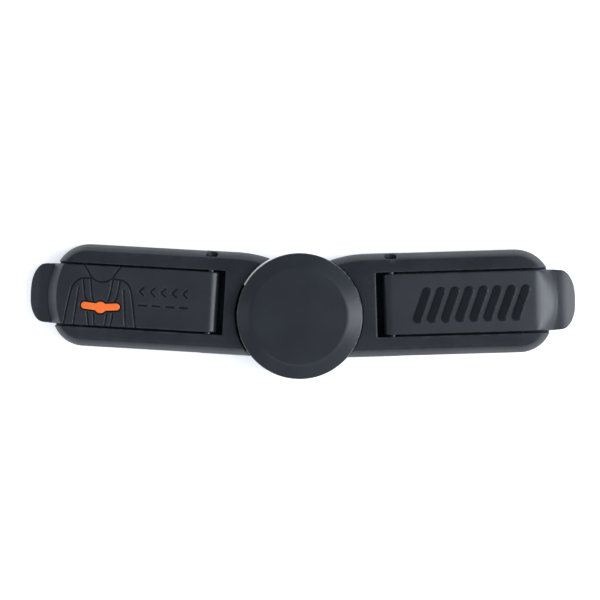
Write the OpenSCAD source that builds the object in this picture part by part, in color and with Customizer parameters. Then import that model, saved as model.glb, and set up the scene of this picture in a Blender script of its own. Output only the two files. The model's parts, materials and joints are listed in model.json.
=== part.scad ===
// Harness chest clip: two strap clamps joined by a tongue and a push-button latch.
// Frame: +X runs along the clip, +Y up the wearer's chest, +Z out of the front.
// The origin is on the button's axis at the rear face.
// Each arm is drawn in its own frame: u runs out along the arm, v across it and z to the front.

/* [Arms] */
// Angle by which each arm rises towards its outer end, in degrees
arm_angle = 2.5; // [0:0.5:4]
// Height of the arms' centreline above the button's axis
arm_offset = 2.6; // [1:0.1:3.5]
// Distance from the button's axis to the outer end of the rails
arm_len = 75.7; // [74:0.1:77]
// Width of an arm across its rear edge
arm_w = 31.3; // [30:0.1:33]
// Height of an arm's front face above the rear face
arm_h = 11; // [10.5:0.1:12]
// Radius of the outer corner on the upper side
corner_r_up = 11; // [9:0.5:12]
// Radius of the outer corner on the lower side
corner_r_low = 10; // [8:0.5:11]
// Radius by which the upper edge falls away towards the button
shoulder_r = 35; // [30:1:45]
// Width of the leaning side face, seen from the front
lean_w = 3.2; // [2:0.1:3.6]

/* [Strap clamp] */
// Thickness of the rear plates
plate_t = 2.4; // [2:0.1:2.4]
// Height of the slot that takes the webbing
slot_h = 3; // [2.6:0.1:3.2]
// Distance from the button's axis to the inner end of the slot
slot_u = 29.7; // [29.7:0.1:31]
// Width of the flap
flap_w = 18.3; // [17:0.1:18.5]
// Gap between the flap and each rail
flap_gap = 0.5; // [0.4:0.05:0.6]
// Thickness of the flap's plate
flap_t = 2.2; // [1.8:0.1:2.4]
// Distance from the button's axis to the tip of the finger tab
tab_end = 83; // [81:0.1:85]
// Thickness of the finger tab
tab_t = 2; // [1.6:0.1:2.4]

/* [Hinges] */
// Distance from the button's axis to a hinge pin
hinge_u = 27.5; // [27:0.1:28]
// Height of a hinge pin above the rear face
hinge_z = 8.4; // [8:0.1:8.6]
// Radius of a hinge pin
pin_r = 1; // [0.8:0.05:1.1]
// Radius of the flap's barrel round the pin
barrel_r = 2.1; // [1.9:0.05:2.2]

/* [Button and latch] */
// Radius of the button
button_r = 18.8; // [18.5:0.1:19]
// Radius of the button's flat face
button_flat_r = 14.1; // [13:0.1:15]
// Height of the button's face above the rear face
button_h = 16; // [15.5:0.1:17]
// Distance that the button travels
button_travel = 2; // [1.5:0.1:2]
// Thickness of the tongue plate
tongue_t = 2.3; // [2:0.1:2.3]
// Width of the tongue
tongue_w = 12.4; // [12:0.1:12.5]

/* [Hidden] */
$fn = 64;
LEFT = -1;
RIGHT = 1;
eps = 0.01;
over = 1;

half_w = arm_w / 2;
flap_half = flap_w / 2;
window_half = flap_half + flap_gap;
window_u = 22.9;
window_floor = 4.8;
rail_z = plate_t + slot_h;
lean_z = 4;
lean_power = 1.4;
shoulder_u = 20;

left_end_r = button_r + 0.7;
right_end_r = button_r + 0.25;

hub_r = button_r - 0.6;
hub_floor = 7.6;
collar_r = button_r - 2.8;
hub_ceiling = 6;
cavity_r = 16;

tongue_z = 2.5;
tongue_tip = 6.5;
root_u = 15;
root_half = 14;
root_end_r = hub_r + 0.3;
root_step_y = 9.1;
blade_root_x = -24;
tip_chamfer = 2.2;
notch_x = [-4.2, 1.8];
notch_depth = 1.8;

flap_top = hinge_z + barrel_r;
roll_u = 62;
roll_drop = 3.3;
roll_end = 77;
step_centre_u = 52;
step_z = [4, 12];
step_r = [26.8, 19.2];
tab_z = 4.4;
tab_corner = 6;
tab_bow = 16;
tab_bend_u = 78.3;
tab_bend = 1.7;
tab_slope = 0.3;
wall_u = 71.6;
wall_t = 2.2;
catch_u = 66;
catch_z = hinge_z + 0.5;
catch_r = 0.7;
catch_out = 0.45;
rib_v = 6.5;
rib_w = 1.6;
rib_u = [34, 70];
rib_z = 5;
strip_t = 0.6;

pad_recess = 0.6;
pad_half = 8.5;
pad_rib_v = 7.5;
pad_rib_pitch = 2.5;

marker_at = [60.2, -3.5];
marker_r = 1.8;
marker_arm = 4.85;
marker_half = 1;
marker_angle = 5;
marker_depth = 0.8;

pin_v = [-13.2, 12.92];
pin_head_r = 1.55;
pin_head_end = 13.6;
pin_recess_r = 1.85;

screw_u = 24.6;
screw_v = 12.2;
screw_top = 6.4;
screw_r = 1;
screw_head_r = 2;
screw_head_z = [0.15, 1.3];
hub_screw_angle = 125;
hub_screw_r = 14.2;

latch_post = [11.5, 5.5];
post_r = 1.2;

carrier_z = 12.8;
carrier_t = 1.4;
carrier_r = button_r - 2.1;
leg_x = [3.5, 6.5];
leg_y = [6.5, 8.4];
leg_bottom = 4.9;
guide_r = 2.4;
guide_bottom = 7.1;
tube_top = carrier_z - button_travel - 0.2;
tube_wall = 1.2;

// Places an arm's own frame on one side of the button
module on_arm(side) {
    mirror([side < 0 ? 1 : 0, 0, 0])
        translate([0, arm_offset, 0])
            rotate([0, 0, arm_angle])
                children();
}

function arc(centre, r, from, to, n = 16) =
    [for (i = [0:n]) let (a = from + (to - from) * i / n) centre + r * [cos(a), sin(a)]];

// Outline of an arm seen from the front, drawn in by an inset all round
function arm_outline(inset) = concat(
    [[0, -half_w + inset]],
    arc([arm_len - corner_r_low, corner_r_low - half_w], corner_r_low - inset, -90, 0),
    arc([arm_len - corner_r_up, half_w - corner_r_up], corner_r_up - inset, 0, 90),
    arc([shoulder_u, half_w - shoulder_r], shoulder_r - inset, 90, 90 + asin(shoulder_u / shoulder_r), 10)
);

// Inset of the leaning side at a share of its height
function lean(share) = lean_w * (1 - pow(1 - pow(share, lean_power), 1 / lean_power));

module outline_layer(inset, low, high) {
    translate([0, 0, low])
        linear_extrude(high - low)
            polygon(arm_outline(inset));
}

// Solid of an arm in front of its rear plate
module arm_body() {
    hull()
        for (share = [0, 0.15, 0.3, 0.45, 0.6, 0.72, 0.82, 0.9, 0.96, 1])
            outline_layer(lean(share), plate_t, lean_z + (arm_h - lean_z) * share);
}

// Solid of an arm's rear plate, with its rear edge rounded
module plate_body() {
    hull() {
        outline_layer(0.9, 0, plate_t);
        outline_layer(0.3, 0.3, plate_t);
        outline_layer(0, 0.9, plate_t);
    }
}

module box(low, high) {
    translate(low)
        cube(high - low);
}

// A cylinder across the arm, from v0 to v1
module cross_bar(u, z, r, v0, v1) {
    translate([u, v0, z])
        rotate([-90, 0, 0])
            cylinder(r = r, h = v1 - v0);
}

module at_arm_screws() {
    for (s = [-1, 1])
        translate([screw_u, s * screw_v, 0])
            children();
}

module at_hub_screws() {
    for (s = [-1, 1])
        rotate([0, 0, s * hub_screw_angle])
            translate([hub_screw_r, 0, 0])
                children();
}

module screw_pilot() {
    translate([0, 0, plate_t - over])
        cylinder(r = screw_r + 0.02, h = screw_top + 0.2 - plate_t + over);
}

// Head recess and through hole for a screw in a rear plate
module screw_recess() {
    translate([0, 0, -over])
        cylinder(r = screw_head_r + 0.2, h = screw_head_z[1] + over);
    cylinder(r = screw_r + 0.1, h = plate_t + over);
}

// Self-tapping screw with a cross recess in its head
module screw() {
    difference() {
        union() {
            translate([0, 0, screw_head_z[0]])
                cylinder(r = screw_head_r, h = screw_head_z[1] - screw_head_z[0]);
            translate([0, 0, screw_head_z[0]])
                cylinder(r = screw_r, h = screw_top - screw_head_z[0]);
        }
        for (a = [0, 90])
            rotate([0, 0, a])
                box([-1.2, -0.25, -over], [1.2, 0.25, 0.85]);
    }
}

// Everything that is cut out of an arm's shell for its flap, strap, pin and screws
module arm_cuts() {
    box([window_u, -window_half, window_floor], [arm_len + over, window_half, arm_h + over]);
    box([slot_u, -arm_w, plate_t - over], [arm_len + over, arm_w, rail_z]);
    cross_bar(hinge_u, hinge_z, pin_r, pin_v[0] - 0.1, arm_w);
    cross_bar(hinge_u, hinge_z, pin_recess_r, pin_v[1] - 0.02, arm_w);
    cross_bar(catch_u, catch_z, catch_r + 0.2, -window_half - 0.3, window_half + 0.3);
    at_arm_screws()
        screw_pilot();
}

module left_shell() {
    color("#3a4046")
        difference() {
            on_arm(LEFT)
                difference() {
                    arm_body();
                    arm_cuts();
                    box([root_u, -root_half - 0.1, plate_t - over],
                        [slot_u + over, root_half + 0.1, window_floor + 0.05]);
                }
            translate([0, 0, -over])
                cylinder(r = left_end_r, h = arm_h + 2 * over);
        }
}

// Round housing that holds the latch
module hub() {
    translate([0, 0, plate_t])
        cylinder(r = hub_r, h = hub_floor - plate_t);
}

// Collar that stands up inside the button's skirt
module hub_collar() {
    translate([0, 0, hub_floor - eps])
        difference() {
            cylinder(r = collar_r, h = tube_top - hub_floor + eps);
            translate([0, 0, -over])
                cylinder(r = collar_r - 1.4, h = arm_h);
        }
}

// Space for the latch, with the screw posts and the latch's own posts left standing
module hub_cavity() {
    difference() {
        translate([0, 0, plate_t - over])
            cylinder(r = cavity_r, h = hub_ceiling - plate_t + over);
        at_hub_screws()
            cylinder(r = 2.6, h = arm_h);
        for (s = [-1, 1])
            translate([latch_post[0], s * latch_post[1], 0]) {
                cylinder(r = post_r, h = arm_h);
                translate([0, 0, tongue_z + tongue_t])
                    cylinder(r = post_r + 0.9, h = arm_h);
            }
    }
}

module right_shell() {
    color("#3a4046")
        difference() {
            union() {
                difference() {
                    union() {
                        on_arm(RIGHT)
                            difference() {
                                arm_body();
                                arm_cuts();
                            }
                        hub();
                    }
                    translate([0, 0, hub_floor])
                        cylinder(r = right_end_r, h = arm_h);
                }
                hub_collar();
                translate([0, 0, hub_ceiling])
                    cylinder(r = guide_r + tube_wall, h = tube_top - hub_ceiling);
            }
            hub_cavity();
            translate([0, 0, hub_ceiling - over])
                cylinder(r = guide_r + 0.1, h = tube_top);
            for (s = [-1, 1])
                box([leg_x[0] - 0.2, s * (leg_y[0] + leg_y[1]) / 2 - 1.15, hub_ceiling - over],
                    [leg_x[1] + 0.2, s * (leg_y[0] + leg_y[1]) / 2 + 1.15, hub_floor + over]);
            box([-hub_r - over, -tongue_w / 2 - 0.4, plate_t - over], [-12, tongue_w / 2 + 0.4, 5.1]);
            at_hub_screws()
                screw_pilot();
        }
}

// Pocket in a rear plate for its grip pad
module pad_pocket() {
    box([rib_u[0] - 0.05, -pad_half - 0.05, plate_t - pad_recess],
        [rib_u[1] + 0.05, pad_half + 0.05, plate_t + over]);
}

module left_back_plate() {
    color("#33383d")
        difference() {
            on_arm(LEFT)
                difference() {
                    plate_body();
                    pad_pocket();
                    at_arm_screws()
                        screw_recess();
                }
            translate([0, 0, -over])
                cylinder(r = left_end_r, h = plate_t + 2 * over);
        }
}

module right_back_plate() {
    color("#33383d")
        difference() {
            union() {
                on_arm(RIGHT)
                    difference() {
                        plate_body();
                        pad_pocket();
                        at_arm_screws()
                            screw_recess();
                    }
                rotate_extrude()
                    polygon([[0, 0], [hub_r - 0.9, 0], [hub_r - 0.3, 0.3], [hub_r, 0.9], [hub_r, plate_t],
                        [0, plate_t]]);
            }
            at_hub_screws()
                screw_recess();
        }
}

// Wide root of the tongue, which follows the hub's wall and steps back above it
module tongue_root() {
    difference() {
        on_arm(LEFT)
            difference() {
                translate([root_u, -root_half])
                    square([slot_u - 0.1 - root_u, 2 * root_half]);
                for (s = [-1, 1])
                    translate([screw_u, s * screw_v])
                        circle(r = 1.1);
            }
        circle(r = root_end_r);
        intersection() {
            circle(r = left_end_r + 1);
            translate([-30, root_step_y])
                square(30);
        }
    }
}

// Notched tongue that reaches from its root in the left arm into the hub
module tongue_plate() {
    half = tongue_w / 2;
    color("#202326")
        translate([0, 0, tongue_z])
            linear_extrude(tongue_t)
                difference() {
                    union() {
                        tongue_root();
                        polygon([[blade_root_x, -half], [tongue_tip - tip_chamfer, -half],
                            [tongue_tip, tip_chamfer - half], [tongue_tip, half - tip_chamfer],
                            [tongue_tip - tip_chamfer, half], [blade_root_x, half]]);
                    }
                    for (s = [-1, 1])
                        translate([(notch_x[0] + notch_x[1]) / 2, s * half])
                            square([notch_x[1] - notch_x[0], 2 * notch_depth], center = true);
                }
}

// Plan of the upper half of the latch's fork, from its bar to its tooth and back
fork_half = [[13.5, 8.7], [10, 8.7], [-4, 8.3], [-4, 6.9], [-0.5, 4.7], [1.5, 4.7], [1.5, 7], [9.5, 7]];

function mirrored(points) = [for (i = [len(points) - 1:-1:0]) [points[i].x, -points[i].y]];

// Sprung fork whose two teeth lie in the tongue's notches
module latch_spring() {
    color("#c8c4b4")
        translate([0, 0, tongue_z + 0.1])
            linear_extrude(tongue_t - 0.2)
                difference() {
                    polygon(concat(fork_half, mirrored(fork_half)));
                    for (s = [-1, 1])
                        translate([latch_post[0], s * latch_post[1]])
                            circle(r = post_r + 0.05);
                }
}

module hinge_pin(side) {
    color("silver")
        on_arm(side)
            difference() {
                union() {
                    cross_bar(hinge_u, hinge_z, pin_r - eps, pin_v[0], pin_v[1] + 0.1);
                    cross_bar(hinge_u, hinge_z, pin_head_r, pin_v[1], pin_head_end);
                }
                cross_bar(hinge_u, hinge_z, 0.55, pin_head_end - 0.4, pin_head_end + over);
            }
}

module arm_screws(side) {
    color("silver")
        on_arm(side)
            at_arm_screws()
                screw();
}

module hub_screws() {
    color("silver")
        at_hub_screws()
            screw();
}

// Soft pad with ribs that keep the webbing from slipping
module grip_pad(side) {
    color("#26282a")
        on_arm(side) {
            box([rib_u[0], -pad_half, plate_t - pad_recess], [rib_u[1], pad_half, plate_t + 0.2]);
            for (v = [-pad_rib_v:pad_rib_pitch:pad_rib_v])
                box([rib_u[0] + 1, v - 0.35, plate_t], [rib_u[1] - 1, v + 0.35, plate_t + 0.5]);
        }
}

// Plan of the finger tab, with round corners and a bowed end
module tab_plan() {
    intersection() {
        union() {
            translate([wall_u, -flap_half])
                square([tab_end - tab_corner - wall_u, flap_w]);
            translate([wall_u, tab_corner - flap_half])
                square([tab_end - wall_u, flap_w - 2 * tab_corner]);
            for (s = [-1, 1])
                translate([tab_end - tab_corner, s * (flap_half - tab_corner)])
                    circle(r = tab_corner);
        }
        translate([tab_end - tab_bow, 0])
            circle(r = tab_bow);
    }
}

// Drop of the tab's face, which bends down towards its tip
function tab_drop(u) =
    let (past = max(u - tab_bend_u, 0))
    tab_slope * (past < tab_bend ? past * past / (2 * tab_bend) : past - tab_bend / 2);

// Side view of the finger tab
function tab_profile() = concat(
    [[tab_end, tab_z], [tab_end, tab_z + tab_t - tab_drop(tab_end)]],
    [for (i = [4:-1:0]) let (u = tab_bend_u + tab_bend * i / 4) [u, tab_z + tab_t - tab_drop(u)]],
    [[wall_u, tab_z + tab_t], [wall_u, tab_z]]
);

// Solid drawn in side view and as wide as the flap
module across_flap(profile) {
    translate([0, flap_half, 0])
        rotate([90, 0, 0])
            linear_extrude(flap_w)
                polygon(profile);
}

// Side view of the flap's plate, whose front face rolls down at its outer end
function flap_profile() = concat(
    [[hinge_u, flap_top - flap_t], [hinge_u, flap_top]],
    [for (share = [0:0.125:1]) [roll_u + (roll_end - roll_u) * share, flap_top - roll_drop * share * share]],
    [[roll_end, tab_z], [wall_u, tab_z], [wall_u, flap_top - flap_t]]
);

// Region behind the curved step between the flap's face and its tab
module behind_step() {
    translate([step_centre_u, 0, step_z[0]])
        cylinder(r1 = step_r[0], r2 = step_r[1], h = step_z[1] - step_z[0]);
    box([window_u, -flap_w, 0], [step_centre_u, flap_w, arm_h + over]);
}

module flap_body() {
    difference() {
        union() {
            intersection() {
                across_flap(flap_profile());
                behind_step();
            }
            intersection() {
                across_flap(tab_profile());
                translate([0, 0, tab_z])
                    linear_extrude(tab_t)
                        tab_plan();
            }
            box([wall_u, -flap_half, plate_t + 0.5], [wall_u + wall_t, flap_half, tab_z + eps]);
            cross_bar(hinge_u, hinge_z, barrel_r, -flap_half, flap_half);
            for (s = [-1, 1])
                box([rib_u[0], s * rib_v - rib_w / 2, rib_z],
                    [rib_u[1], s * rib_v + rib_w / 2, flap_top - flap_t + eps]);
            cross_bar(catch_u, catch_z, catch_r, -flap_half - catch_out, flap_half + catch_out);
        }
        cross_bar(hinge_u, hinge_z, pin_r + 0.05, -arm_w, arm_w);
        box([roll_u + 2, 2.5 - flap_half, rib_z - over], [wall_u, flap_half - 2.5, flap_top - flap_t]);
    }
}

// Plan of the marker: a small picture of the clip itself
module marker_plan(grow) {
    translate(marker_at) {
        circle(r = marker_r + grow);
        for (s = [-1, 1])
            rotate([0, 0, s * marker_angle])
                mirror([s < 0 ? 1 : 0, 0]) {
                    translate([0, -marker_half - grow])
                        square([marker_arm, 2 * (marker_half + grow)]);
                    translate([marker_arm, 0])
                        circle(r = marker_half + grow);
                }
    }
}

module left_flap() {
    color("#2c3034")
        on_arm(LEFT)
            difference() {
                flap_body();
                translate([0, 0, flap_top - marker_depth])
                    linear_extrude(marker_depth + over)
                        marker_plan(0.35);
            }
}

module right_flap() {
    color("#2c3034")
        on_arm(RIGHT)
            flap_body();
}

module clip_marker() {
    color("orangered")
        on_arm(LEFT)
            translate([0, 0, flap_top - marker_depth])
                linear_extrude(marker_depth + 0.1)
                    marker_plan(0);
}

// Soft strips on the edges of the flap's ribs
module flap_strips(side) {
    color("#26282a")
        on_arm(side)
            for (s = [-1, 1])
                box([rib_u[0], s * rib_v - rib_w / 2, rib_z - strip_t],
                    [rib_u[1], s * rib_v + rib_w / 2, rib_z]);
}

// Round cap with a soft bevel, hollow from the rear, with a lip that holds its carrier
module button_cap() {
    rim_z = 10;
    skirt_r = button_r - 1.6;
    seat_r = button_r - 1.9;
    lip_r = button_r - 2.5;
    carrier_top = carrier_z + carrier_t;
    color("#3a4148")
        rotate_extrude()
            polygon([
                [0, button_h], [button_flat_r - 0.8, button_h], [button_flat_r, button_h - 0.08],
                [button_flat_r + 0.8, button_h - 0.32], [button_r - 0.3, button_h - 1.95],
                [button_r - 0.05, button_h - 2.15], [button_r, button_h - 2.5], [button_r, rim_z + 0.3],
                [button_r - 0.3, rim_z], [skirt_r, rim_z], [skirt_r, 12.3], [lip_r, 12.5],
                [lip_r, carrier_z - 0.05], [seat_r, carrier_z - 0.05], [seat_r, carrier_top],
                [0, carrier_top]
            ]);
}

// Wedge leg that spreads one arm of the latch spring, with its retaining barb
module button_leg() {
    rotate([90, 0, 90])
        translate([0, 0, leg_x[0]])
            linear_extrude(leg_x[1] - leg_x[0])
                polygon([[leg_y[0], leg_bottom], [7, leg_bottom], [leg_y[1], leg_bottom + 1.6],
                    [leg_y[1], carrier_z + eps], [leg_y[0], carrier_z + eps]]);
    box([leg_x[1] - eps, leg_y[0], hub_ceiling - 0.7], [leg_x[1] + 0.7, 7.2, hub_ceiling - 0.05]);
}

module button_carrier() {
    color("#d8d4c4") {
        translate([0, 0, carrier_z])
            cylinder(r = carrier_r, h = carrier_t);
        translate([0, 0, guide_bottom])
            cylinder(r = guide_r, h = carrier_z + eps - guide_bottom);
        for (s = [0, 1])
            mirror([0, s, 0])
                button_leg();
    }
}

// Compression spring round the guide tube, swept as a tube of eight sides
module button_spring() {
    turns = 4;
    steps = 20 * turns;
    sides = 8;
    wire_r = 0.3;
    coil_r = 5;
    low = hub_floor + wire_r;
    rise = carrier_z - wire_r - low;
    ring = [for (i = [0:steps]) let (a = 360 * turns * i / steps, z = low + rise * i / steps)
        for (k = [0:sides - 1]) let (b = 360 * k / sides, r = coil_r + wire_r * cos(b))
            [r * cos(a), r * sin(a), z + wire_r * sin(b) * 0.98]];
    color("silver")
        polyhedron(ring, concat(
            [[for (k = [0:sides - 1]) k]],
            [for (i = [0:steps - 1], k = [0:sides - 1])
                [i * sides + k, (i + 1) * sides + k, (i + 1) * sides + (k + 1) % sides,
                    i * sides + (k + 1) % sides]],
            [[for (k = [sides - 1:-1:0]) steps * sides + k]]
        ));
}

left_shell();
left_back_plate();
tongue_plate();
hinge_pin(LEFT);  // left_hinge_pin
arm_screws(LEFT);  // left_screws
grip_pad(LEFT);  // left_grip_pad
left_flap();
flap_strips(LEFT);  // left_flap_strips
clip_marker();
right_shell();
right_back_plate();
hinge_pin(RIGHT);  // right_hinge_pin
arm_screws(RIGHT);  // right_screws
hub_screws();
grip_pad(RIGHT);  // right_grip_pad
latch_spring();
button_spring();
right_flap();
flap_strips(RIGHT);  // right_flap_strips
button_cap();
button_carrier();
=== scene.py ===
"""Looks of a harness chest clip: two strap clamps joined by a tongue and a push-button latch.

The shape code works in millimetres. u runs out along an arm, v across it and z to the front, and x and y
are the frame's own axes. Shapes are signed distances sampled on a grid: below zero inside, above zero
outside. skin() turns such a field into a mesh in metres.
"""
import json
import math

import bpy
import numpy as np
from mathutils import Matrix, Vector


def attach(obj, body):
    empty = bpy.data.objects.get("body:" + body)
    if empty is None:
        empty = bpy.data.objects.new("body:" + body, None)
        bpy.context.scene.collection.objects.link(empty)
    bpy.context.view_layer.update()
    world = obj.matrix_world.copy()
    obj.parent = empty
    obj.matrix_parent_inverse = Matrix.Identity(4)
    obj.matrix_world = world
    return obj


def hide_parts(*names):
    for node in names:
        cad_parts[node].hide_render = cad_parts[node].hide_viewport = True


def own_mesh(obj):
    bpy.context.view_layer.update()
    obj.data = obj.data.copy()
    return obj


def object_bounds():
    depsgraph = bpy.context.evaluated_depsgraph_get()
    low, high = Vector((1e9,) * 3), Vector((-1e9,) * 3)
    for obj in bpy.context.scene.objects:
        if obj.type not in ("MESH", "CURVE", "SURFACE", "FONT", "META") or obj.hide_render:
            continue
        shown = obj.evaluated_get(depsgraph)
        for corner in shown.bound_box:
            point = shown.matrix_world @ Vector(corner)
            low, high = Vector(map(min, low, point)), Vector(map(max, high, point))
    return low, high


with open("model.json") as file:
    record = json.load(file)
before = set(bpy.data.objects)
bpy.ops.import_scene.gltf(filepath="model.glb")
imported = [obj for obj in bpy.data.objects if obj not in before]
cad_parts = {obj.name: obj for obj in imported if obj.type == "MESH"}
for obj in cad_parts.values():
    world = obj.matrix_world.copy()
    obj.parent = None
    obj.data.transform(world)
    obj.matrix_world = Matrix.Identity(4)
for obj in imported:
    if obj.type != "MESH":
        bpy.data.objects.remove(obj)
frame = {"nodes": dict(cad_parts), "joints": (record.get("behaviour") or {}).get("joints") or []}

import openvdb
from mathutils import Matrix, Vector

cad_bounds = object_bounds()

MM = 0.001
LEFT = -1
RIGHT = 1
SIDE_NAMES = {LEFT: "left", RIGHT: "right"}
FAR = 1000.0
COARSE = 1.0


# ---------------------------------------------------------------- places and sizes from the frame

def joint(name):
    return next(j for j in frame["joints"] if j["name"] == name)


hinge = joint("right_flap_hinge")
ARM_ANGLE = math.atan2(hinge["axis"][0], -hinge["axis"][1])
COS, SIN = math.cos(ARM_ANGLE), math.sin(ARM_ANGLE)
HINGE_U = hinge["pos_m"][0] / COS / MM
HINGE_Z = hinge["pos_m"][2] / MM
ARM_OFFSET = hinge["pos_m"][1] / MM - HINGE_U * SIN


def to_arm(points, side):
    """Frame coordinates in mm to an arm's own u, v, z."""
    x, y = points[:, 0] * side, points[:, 1] - ARM_OFFSET
    return np.stack([x * COS + y * SIN, y * COS - x * SIN, points[:, 2]], axis=1)


def from_arm(points, side):
    """An arm's own u, v, z to frame coordinates in mm."""
    u, v = points[:, 0], points[:, 1]
    return np.stack([side * (u * COS - v * SIN), ARM_OFFSET + u * SIN + v * COS, points[:, 2]], axis=1)


def span(node, side=None):
    """Lowest and highest corners of a CAD node in mm, in its arm's frame where a side is given."""
    points = np.array([v.co for v in frame["nodes"][node].data.vertices]) / MM
    if side:
        points = to_arm(points, side)
    return points.min(axis=0), points.max(axis=0)


ARM_LEN, ARM_HALF, PLATE_T = span("left_back_plate", LEFT)[1]
ARM_H = span("left_shell", LEFT)[1][2]
flap_low, flap_high = span("left_flap", LEFT)
pad_low, pad_high = span("left_grip_pad", LEFT)
strip_low, strip_high = span("left_flap_strips", LEFT)
cap_low, cap_high = span("button_cap")
tongue_high = span("tongue_plate")[1]
marker_low, marker_high = span("clip_marker", LEFT)
fork_low, fork_high = span("latch_spring")
carrier_low, carrier_high = span("button_carrier")
screw_low, screw_high = span("left_screws", LEFT)

# Arms. Names end in U, V or Z for a place, R for a radius, H or T for a height or thickness,
# and W or HALF for a width.
SLOT_U = 29.7
RAIL_Z = PLATE_T + 3.0
CORNER_UP, CORNER_LOW, SHOULDER_R, SHOULDER_U = 11.0, 10.0, 35.0, 20.0
LEAN_W, LEAN_Z, LEAN_POWER = 3.2, 5.0, 1.4
CROWN = 0.14

# Flaps
CATCH_U, CATCH_Z, CATCH_R = 66.0, HINGE_Z + 0.5, 0.7
CATCH_OUT = 0.45
FLAP_HALF = flap_high[1] - CATCH_OUT
WINDOW_HALF = flap_high[1] + 0.05
WINDOW_U = 22.9
WINDOW_FLOOR = tongue_high[2]
BARREL_R = HINGE_U - flap_low[0]
FLAP_TOP = HINGE_Z + BARREL_R
FLAP_T = 2.2
TAB_END = flap_high[0]
TAB_Z, TAB_T = 4.4, 2.0
WALL_U, WALL_T = 71.6, 2.2
POCKET_U = 64.0
RIB_W = 1.6
NOSE_REACH = 2.6
ROLL_U = {LEFT: 73.4, RIGHT: 70.2}
ROLL_BEND, ROLL_SLOPE = 1.6, 0.42
STEP_U, STEP_Z = 52.0, 8.84
STEP_R = {LEFT: 23.15, RIGHT: 23.0}
STEP_SLOPE = {LEFT: 0.8, RIGHT: 0.95}
STEP_EDGE = {LEFT: 0.25, RIGHT: 0.7}
TAB_BEND_U, TAB_BEND, TAB_SLOPE = 78.3, 1.7, 0.3

# Button and latch
BUTTON_R = cap_high[0]
BUTTON_FLAT_R = BUTTON_R - 4.6
BUTTON_H, BEVEL_H = cap_high[2], 2.1
SEAT_Z, SEAT_TOP = 12.75, 14.2
RIM_Z = cap_low[2]
HUB_R = BUTTON_R - 0.6
HUB_FLOOR, HUB_CEILING = 7.6, 6.0
CAVITY_R = 16.0
COLLAR_R = BUTTON_R - 2.8
TUBE_TOP = 10.6
ENTRY_TOP = 5.1
LEFT_END_R = BUTTON_R + 0.7
RIGHT_END_R = BUTTON_R + 0.1
END_LEAN = 0.04
GUIDE_R = 2.4
LEG_X, LEG_Y, LEG_BOTTOM = (3.5, 6.5), (6.5, 8.4), 4.9
LEG_TOP = 13.5
PRESS = joint("button_press")["range_m"][1] / MM

# Screws, pins and tongue
SCREW_U, SCREW_V = (screw_low[0] + screw_high[0]) / 2, 12.2
SCREW_TOP = screw_high[2]
SCREW_BORE, SCREW_HOLE, HEAD_HOLE, HEAD_DEPTH = 1.02, 1.1, 2.2, 1.3
HUB_SCREW_R = 14.2
HUB_SCREWS = [(HUB_SCREW_R * math.cos(a), HUB_SCREW_R * math.sin(a)) for a in map(math.radians, (125, -125))]
POSTS = [(11.5, 5.5), (11.5, -5.5)]
POST_R = 1.2
ROOT_HALF = 14.0
TONGUE_HALF = 6.2
PIN_R, PIN_HEAD_R = 1.0, 1.55
PIN_TIP, PIN_NECK, PIN_END = -13.2, 12.92, 13.6

# Picture and marker
MARKER_R, MARKER_HALF, MARKER_ARM = 1.75, 1.06, 4.82
MARKER_U, MARKER_V = (marker_low[0] + marker_high[0]) / 2, marker_low[1] + 1.8
MARKER_RECESS = 0.42
GROOVE_HALF = 0.25


# ---------------------------------------------------------------- signed distances

class Grid:
    """Sample points of a box, as three arrays that broadcast against each other."""

    def __init__(self, low, high, voxel, side=None):
        self.voxel = voxel * COARSE
        self.low = np.array(low, dtype=float)
        self.side = side
        counts = np.ceil((np.array(high) - self.low) / self.voxel).astype(int) + 1
        axes = [(low[i] + self.voxel * np.arange(counts[i])).astype(np.float32) for i in range(3)]
        self.u, self.v = axes[0][:, None, None], axes[1][None, :, None]
        self.z = axes[2][None, None, :]
        self.x, self.y = self.u, self.v
        if side:
            self.x = side * (self.u * COS - self.v * SIN)
            self.y = ARM_OFFSET + self.u * SIN + self.v * COS
        self.radius = np.hypot(self.x, self.y)


def both(a, b, r):
    """Where both shapes are, with the edge between them rounded to radius r."""
    return np.minimum(-r, np.maximum(a, b)) + np.hypot(np.maximum(r + a, 0), np.maximum(r + b, 0))


def either(a, b, r):
    """Where either shape is, with a fillet of radius r between them."""
    return np.maximum(r, np.minimum(a, b)) - np.hypot(np.maximum(r - a, 0), np.maximum(r - b, 0))


def cut(a, b, r):
    """The first shape without the second, with the new edge rounded."""
    return both(a, -b, r)


def between(values, low, high):
    """Distance outside a range of values, below zero within it."""
    return np.maximum(low - values, values - high)


def block(grid, low, high, r):
    """A box along the grid's own axes, with rounded edges."""
    sides = [between(c, l, h) for c, l, h in zip((grid.u, grid.v, grid.z), low, high)]
    return both(both(sides[0], sides[1], r), sides[2], r)


def cross_bar(grid, u, z, r, v_low, v_high, edge=0.1):
    """A round bar across the arm."""
    return both(np.hypot(grid.u - u, grid.z - z) - r, between(grid.v, v_low, v_high), edge)


def post(grid, x, y, r, low, high, edge=0.1):
    """An upright round bar at a place on the frame's own axes."""
    return both(np.hypot(grid.x - x, grid.y - y) - r, between(grid.z, low, high), edge)


def arm_post(grid, u, v, r, low, high, edge=0.1):
    return both(np.hypot(grid.u - u, grid.v - v) - r, between(grid.z, low, high), edge)


def segment_square(a, b, start, end):
    """Squared distance in a plane to the straight line between two points."""
    (a0, b0), (a1, b1) = start, end
    da, db = a1 - a0, b1 - b0
    share = np.clip(((a - a0) * da + (b - b0) * db) / max(da * da + db * db, 1e-12), 0, 1)
    return (a - a0 - share * da) ** 2 + (b - b0 - share * db) ** 2


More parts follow.
